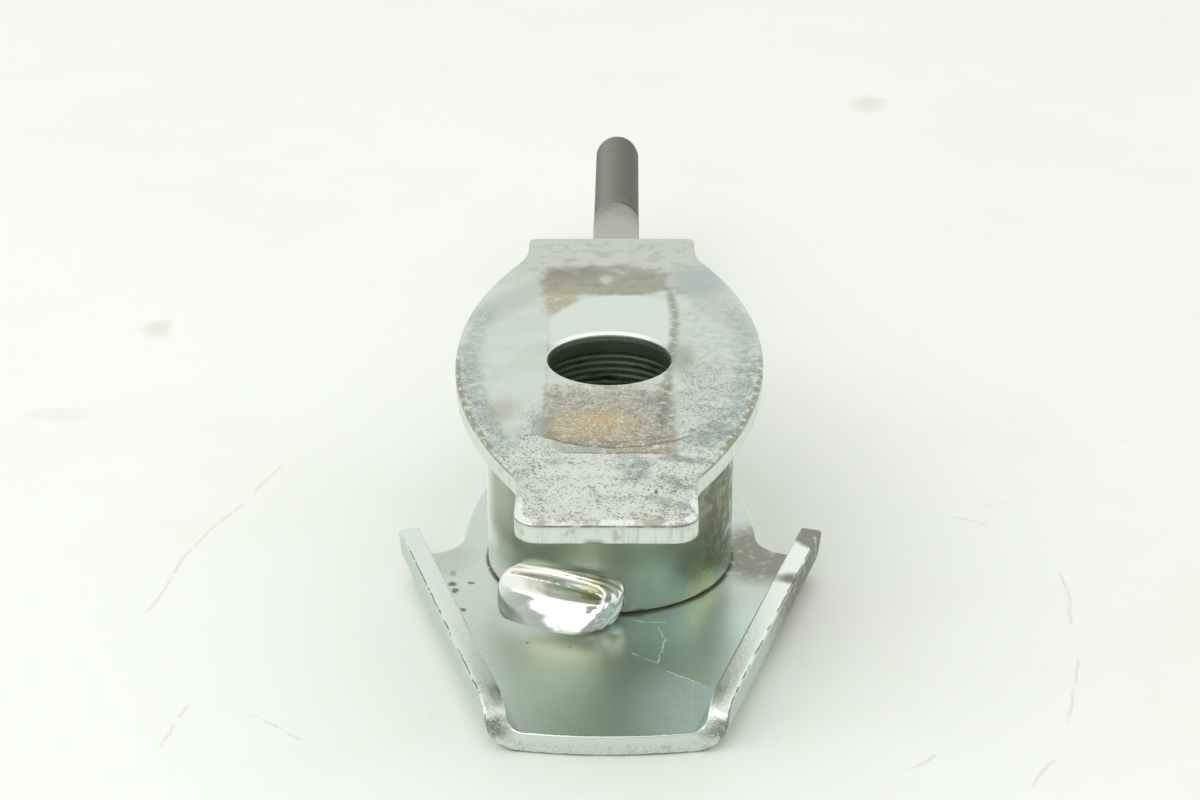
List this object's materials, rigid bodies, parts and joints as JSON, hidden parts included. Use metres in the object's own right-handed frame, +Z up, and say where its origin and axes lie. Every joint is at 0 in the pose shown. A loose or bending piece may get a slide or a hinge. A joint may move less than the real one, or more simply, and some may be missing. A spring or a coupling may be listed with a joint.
{
  "type": "motorcycle chain adjuster",
  "caption": "Welded steel chain adjuster: folded base plate and barrel-shaped top plate on a turned collar with an axle hole through all three, and a threaded stud behind.",
  "frame": {"origin": "on the axle's axis at the underside of the base plate", "axes": "+Z up the axle hole from base plate to top plate, +Y rearwards along the stud, +X to the right seen from the front"},
  "size_m": [0.06, 0.183, 0.034],
  "materials": {
    "base_zinc": "satin bright-zinc plating with fine scratches and brown dirt at the right",
    "top_zinc": "worn zinc plating with a brown print of the swingarm's slot and black specks",
    "collar_zinc": "satin zinc plating over a turned surface",
    "stud_steel": "dull dark steel, dirty in the thread",
    "weld_metal": "bright zinc plating over smooth weld metal"
  },
  "bodies": {
    "root": {"base_plate": "base_zinc", "top_plate": "top_zinc", "collar": "collar_zinc", "stud": "stud_steel", "weld_base_front": "weld_metal", "weld_base_rear": "weld_metal", "weld_top_front": "weld_metal", "weld_top_rear": "weld_metal", "weld_stud": "weld_metal"}
  },
  "joints": []
}
